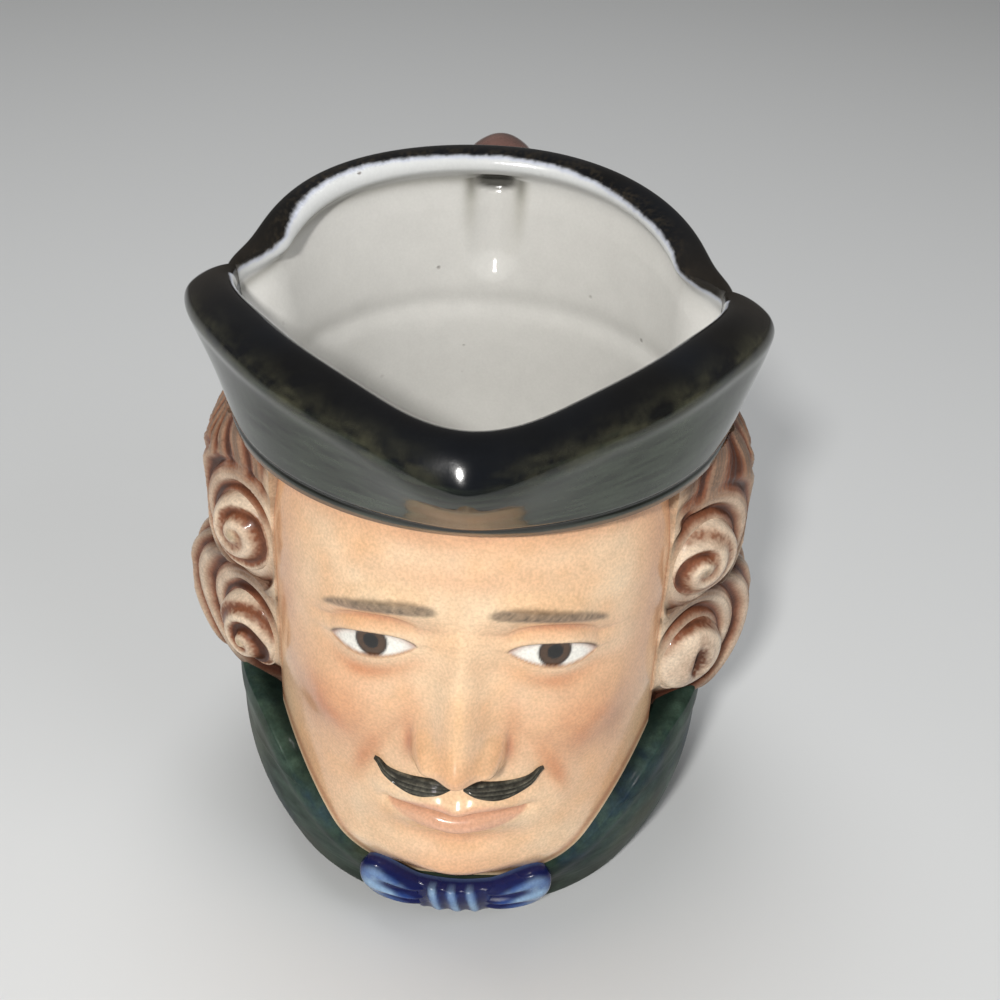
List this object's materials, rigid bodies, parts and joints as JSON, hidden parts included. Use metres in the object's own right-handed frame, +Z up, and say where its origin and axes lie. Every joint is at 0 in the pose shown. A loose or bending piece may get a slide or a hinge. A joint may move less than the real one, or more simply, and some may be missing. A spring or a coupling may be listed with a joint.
{
  "type": "character jug",
  "caption": "Small glazed earthenware jug shaped as a head: a cocked hat forms the open mouth, with curled hair, a collar and bow below and a loop handle behind.",
  "frame": {"origin": "centre of the foot ring, on the plane that the jug stands on", "axes": "+Z up, -Y the way the face looks, +Y towards the handle, +X to the right in a view from the front"},
  "size_m": [0.0958, 0.1148, 0.1085],
  "materials": {
    "white_glaze": "gloss",
    "green_glaze": "gloss",
    "blue_glaze": "gloss",
    "skin_glaze": "gloss",
    "moustache_glaze": "gloss",
    "hat_glaze": "gloss",
    "handle_glaze": "gloss",
    "hair_glaze": "gloss"
  },
  "bodies": {
    "root": {"vessel": "white_glaze", "coat_left": "green_glaze", "coat_right": "green_glaze", "bow_knot": "blue_glaze", "bow_loop_left": "blue_glaze", "bow_loop_right": "blue_glaze", "face": "skin_glaze", "moustache_left": "moustache_glaze", "moustache_right": "moustache_glaze", "hair_upper_left": "hair_glaze", "hair_upper_right": "hair_glaze", "hair_lower_left": "hair_glaze", "hair_lower_right": "hair_glaze", "curl_upper_left": "hair_glaze", "curl_upper_right": "hair_glaze", "curl_lower_left": "hair_glaze", "curl_lower_right": "hair_glaze", "hat_front_flap": "hat_glaze", "hat_back_flap": "hat_glaze", "handle": "handle_glaze"}
  },
  "joints": []
}
